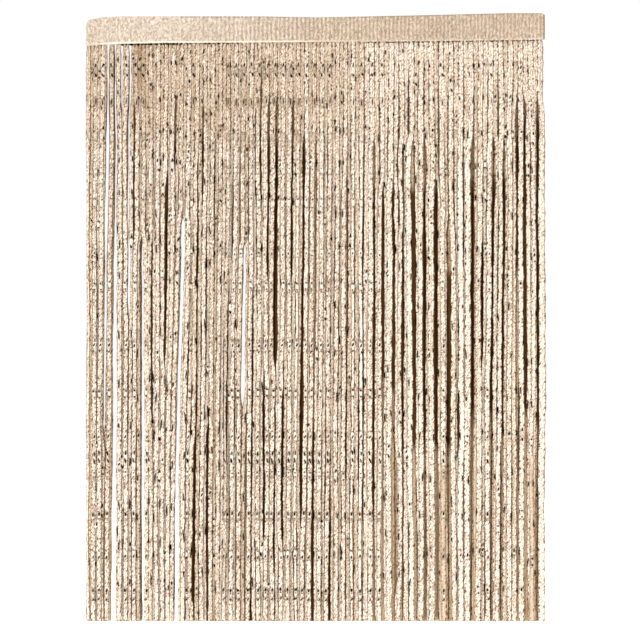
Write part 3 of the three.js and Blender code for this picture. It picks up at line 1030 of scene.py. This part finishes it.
def away_from_gap(x, height):
    """How far a place lies to the right of the nearest gap that goes through all the rows."""
    open_gaps = [parting for parting in PARTINGS + SLITS if "through" in parting]
    gap_x = column(open_gaps, "x")
    gap_x = gap_x + smoothstep(-height, 0, DROP)[:, None] * along(LEANS, "lean", gap_x)
    apart = x[:, None] - gap_x
    return apart[np.arange(len(x)), np.abs(apart).argmin(1)]


def sequins(name, lines, materials):
    """The sequins of a row of strings. Each lies on its string's face, or stands on edge beside it, narrow and
    blunt, and then keeps to the side away from an open gap. It is its body at u across, v up and w out,
    rolled, pitched and turned about the string by its yaw, with each eye laid on it where its row of sequins
    has that eye."""
    which, order, height, on_step = sequin_heights(lines)
    total = len(which)
    glint = column(SEQUIN_ROWS, "glint") > 0
    eyes = np.array([[eye[:4] for eye in level["eyes"]] for level in SEQUIN_ROWS], float)
    tones = np.array([[EYE_TONES.index(eye[4]) for eye in level["eyes"]] for level in SEQUIN_ROWS])
    string = {key: value_at(lines, key, which, height) for key in ("x", "y", "width", "tone", "twist")}

    share_on_edge = 0.85
    tilt = 4  # in degrees, the usual tilt of a sequin from its string
    on_edge = (random.random(total) < share_on_edge) & ~on_step
    row = np.where(on_step, order, random.choice(LONE_ROWS, total))
    side = random.choice([-1, 1], total)
    from_gap = away_from_gap(string["x"], height)
    by_gap = np.abs(from_gap) < GAP_CLEARANCE
    side = np.where(by_gap, np.sign(from_gap), side)
    lying = string["twist"] + np.radians(random.normal(0, tilt, total))
    yaw = np.where(on_edge, side * np.radians(random.uniform(100, 125, total)), lying)[:, None]
    pitch = np.radians(random.normal(0, tilt, total))[:, None]
    roll = np.radians(random.normal(0, tilt, total))[:, None]

    # One on edge is narrower, blunter, more domed and mostly shorter, most of all close under the tape
    corners, faces, looks, eye_parts = sequin_body()
    shorter = 0.65 + 0.35 * smoothstep(-height, *BELOW_TOP)
    longer = 0.4 * smoothstep(-height, 300, 700) * (1 - smoothstep(string["x"], 40, 140))
    size = np.where(on_edge, shorter * random.uniform(0.35, 0.85 + longer, total), 1)[:, None]
    breadth = SEQUIN_WIDTH / 2 * np.where(on_edge, 0.2, 1)[:, None]
    bluntness = np.where(on_edge, 0.45, 1)[:, None]
    doming = np.where(on_edge, 1.6, 1)[:, None]
    u = corners[:, 0] * breadth
    v = np.sign(corners[:, 1]) * np.abs(corners[:, 1]) ** bluntness * SEQUIN_HEIGHT / 2 * size
    w = corners[:, 2] * SEQUIN_DOME * doming

    # Its eyes lie just before the dome, and where it is on edge they are shut to slivers behind it
    eye_breadth = np.where(on_edge, 0.01, 1)[:, None]
    eye_rise = np.where(on_edge, 0.3, 1.25)[:, None]
    for eye, part in enumerate(eye_parts):
        place, wide, tall, lean = (eyes[row, eye, i][:, None] for i in range(4))
        lean = np.radians(lean)
        wide = wide * eye_breadth * random.uniform(0.85, 1.15, (total, 1)) / 2
        tall = tall * random.uniform(0.85, 1.15, (total, 1)) / 2
        a, b = corners[part, 0] * wide, corners[part, 1] * tall
        u[:, part] = a * np.cos(lean) + b * np.sin(lean)
        v[:, part] = place + b * np.cos(lean) - a * np.sin(lean)
        w[:, part] = eye_rise * SEQUIN_DOME + 0.2 * corners[part, 2]
    u, v = rotated(u, v, roll)
    v, w = rotated(v, w, pitch)

    facing = lines["facing"]
    off_face = np.where(on_edge, breadth[:, 0] + 0.5, 0.3)
    off_middle = np.where(by_gap, 0.1, random.uniform(0.15, 0.5, total)) * string["width"]
    centre_x = string["x"] + np.where(on_edge, side * off_middle, 0)
    centre_y = string["y"] + facing * (STRING_THICKNESS / 2 + off_face)
    points = np.stack([
        centre_x[:, None] - facing * (u * np.cos(yaw) + w * np.sin(yaw)),
        centre_y[:, None] - facing * (u * np.sin(yaw) - w * np.cos(yaw)),
        height[:, None] + v,
    ], -1)
    uv = np.broadcast_to(corners[:, :2], (*points.shape[:2], 2))
    # A sequin on edge takes the dark reverse finish all over, which is painted shade, and the pearl finish has
    # a painted highlight
    pearl, matt, reverse, first_eye = 0, 1, 2, 3
    dome_finish = np.where(on_edge, reverse, np.where(glint[row] & on_step, pearl, matt))
    finishes = np.stack([dome_finish, np.full(total, reverse), *(first_eye + tones[row]).T], -1)
    tone = np.broadcast_to(string["tone"][:, None], points.shape[:2])
    piece = mesh_of(
        name, points, faces, materials, uv=uv, attributes={"tone": tone}, face_materials=finishes[:, looks]
    )
    return ride_as(piece, "sequin")


def hem_shadow_stitches(material):
    """The dark marks under the tape's hem, a painted shadow drawn as lockstitches: small six-sided lozenges in
    three runs along it. Each run has its ends, the stitches' pitch and how bold they are."""
    runs = [
        {"from": -378, "to": -268, "pitch": 6.2, "bold": 1.4},
        {"from": -262, "to": -150, "pitch": 9.0, "bold": 1.1},
        {"from": 105, "to": 446, "pitch": 6.6, "bold": 0.85},
    ]
    sides = 6
    below_foot = 1.4
    depth = -2.6
    front, back = depth - 0.7, depth + 0.7
    spin = 2 * np.pi * np.arange(sides) / sides
    places = [np.arange(run["from"], run["to"], run["pitch"]) for run in runs]
    bold = np.concatenate([np.full(len(place), run["bold"]) for place, run in zip(places, runs)])[:, None]
    x = np.concatenate(places)
    x = x + random.normal(0, 0.9, len(x))
    z = along(TAPE_EDGES, "foot", x) - below_foot
    length = bold * random.uniform(2.0, 6.6, (len(x), 1))
    height = bold * random.uniform(1.0, 1.9, (len(x), 1))
    middle = np.full((len(x), sides), depth)
    ring = np.stack([length / 2 * np.cos(spin), middle, height * np.sin(spin)], -1)
    tips = np.array([[0, front, 0], [0, back, 0]])
    points = np.concatenate([ring, np.broadcast_to(tips, (len(x), 2, 3))], 1)
    points = points + np.stack([x, 0 * x, z], -1)[:, None, :]
    faces = []
    for i in range(sides):
        j = (i + 1) % sides
        faces += [(sides, i, j), (j, i, sides + 1)]
    piece = mesh_of("hem_shadow_stitches", points, faces, [material])
    return ride_as(piece, "tape")


def camera():
    """A long lens square to the curtain, so that it fills the frame as in the photograph."""
    tape_middle = (315.5, 17)  # the middle of the tape's top edge, in the photograph's pixels
    front_depth = 5  # about how far the front strings lie before the tape's middle
    data = bpy.data.cameras.new("camera")
    data.lens = 100
    data.sensor_width = 36
    data.clip_end = 50
    pixel = WIDTH / TAPE_PIXELS
    distance = PHOTO_PIXELS * pixel * data.lens / data.sensor_width
    eye = bpy.data.objects.new("camera", data)
    eye.location = (
        (PHOTO_PIXELS / 2 - tape_middle[0]) * pixel * MM,
        (-distance - front_depth) * MM,
        (tape_middle[1] - PHOTO_PIXELS / 2) * pixel * MM,
    )
    eye.rotation_euler = (np.pi / 2, 0, 0)
    bpy.context.scene.collection.objects.link(eye)
    bpy.context.scene.camera = eye


def lamp(name, strength, spread, azimuth, elevation):
    """A soft distant lamp. Azimuth 0 shines from the camera's side, and more turns it to the right."""
    data = bpy.data.lights.new(name, "SUN")
    data.energy = strength
    data.angle = np.radians(spread)
    light = bpy.data.objects.new(name, data)
    light.rotation_euler = (np.radians(90 - elevation), 0, np.radians(azimuth))
    bpy.context.scene.collection.objects.link(light)


def studio():
    """A white studio with a pale floor and soft lamps: the strongest at the left, one at the right and two
    behind."""
    white, warm = (1, 1, 1, 1), (1, 0.76, 0.53, 1)
    half_floor = 3000
    floor_z = -1250
    world = bpy.data.worlds.new("studio")
    bpy.context.scene.world = world
    world.use_nodes = True
    tree = world.node_tree
    tree.nodes.clear()
    seen = add(tree, "ShaderNodeLightPath", output="Is Camera Ray")
    strength = add(tree, "ShaderNodeMapRange", {"Value": seen, "To Min": 0.38, "To Max": 1.0})
    tint = add(tree, "ShaderNodeMix", {"Factor": seen, "A": warm, "B": white}, data_type="RGBA")
    sky = add(tree, "ShaderNodeBackground", {"Color": tint, "Strength": strength})
    add(tree, "ShaderNodeOutputWorld", {"Surface": sky})
    lamp("left", strength=2.8, spread=14, azimuth=-46, elevation=32)
    lamp("right", strength=1.7, spread=14, azimuth=44, elevation=22)
    lamp("behind_left", strength=2.2, spread=20, azimuth=-140, elevation=30)
    lamp("behind_right", strength=1.8, spread=20, azimuth=140, elevation=30)
    signs = np.array([(-1, -1), (1, -1), (1, 1), (-1, 1)])
    corners = np.column_stack([half_floor * signs, np.full(len(signs), floor_z)])
    material, tree = new_material("pale_floor")
    floor_finish = add(tree, "ShaderNodeBsdfPrincipled", {
        "Base Color": linear("#f4f2ef"), "Roughness": 0.9, "Emission Color": white, "Emission Strength": 0.45,
    })
    add(tree, "ShaderNodeOutputMaterial", {"Surface": floor_finish})
    mesh_of("floor", corners[None].astype(float), [(0, 1, 2, 3)], [material])
    bpy.context.scene.view_settings.view_transform = "Standard"


camera()
studio()
tape_cloth()
# The valley, hollow and last colour of each knit are painted shade
cream_knit = knitted_polyester(
    "knitted_polyester_cream",
    light="#f4ecdf", mid="#d4c7b4", valley="#7a5128", hollow="#54310f", painted_shade_colour="#8a6843",
)
# The inner row's knit: a darker copy of the cream knit, painted shade for the row between the others
painted_shade_knit = knitted_polyester(
    "knitted_polyester_painted_shade",
    light="#dfccb2", mid="#bba27f", valley="#6f4722", hollow="#54310f", painted_shade_colour="#4d341b",
)
front_row, inner_row, back_row = ROWS
front_lines = string_row(front_row, cream_knit)
string_row(inner_row, painted_shade_knit)
back_lines = string_row(back_row, cream_knit)
sequin_finishes = [
    pearl_sequin_painted_highlight(),
    matt_sequin(),
    # The reverse's near-black is painted shade
    plain_finish("sequin_reverse_painted_shade", "#170c04", 0.6),
    # The sewing eyes' dark, brown and tan are painted shade
    plain_finish("sewing_eye_dark", "#1c0e04", 0.7),
    plain_finish("sewing_eye_brown", "#4a2f17", 0.7),
    plain_finish("sewing_eye_tan", "#8c7050", 0.7),
]
sequins("sequins_front", front_lines, sequin_finishes)
sequins("sequins_back", back_lines, sequin_finishes)
# The dark lozenges under the hem are painted shadow
hem_shadow_stitches(plain_finish("hem_stitch_painted_shadow", "#20130a", 0.7))
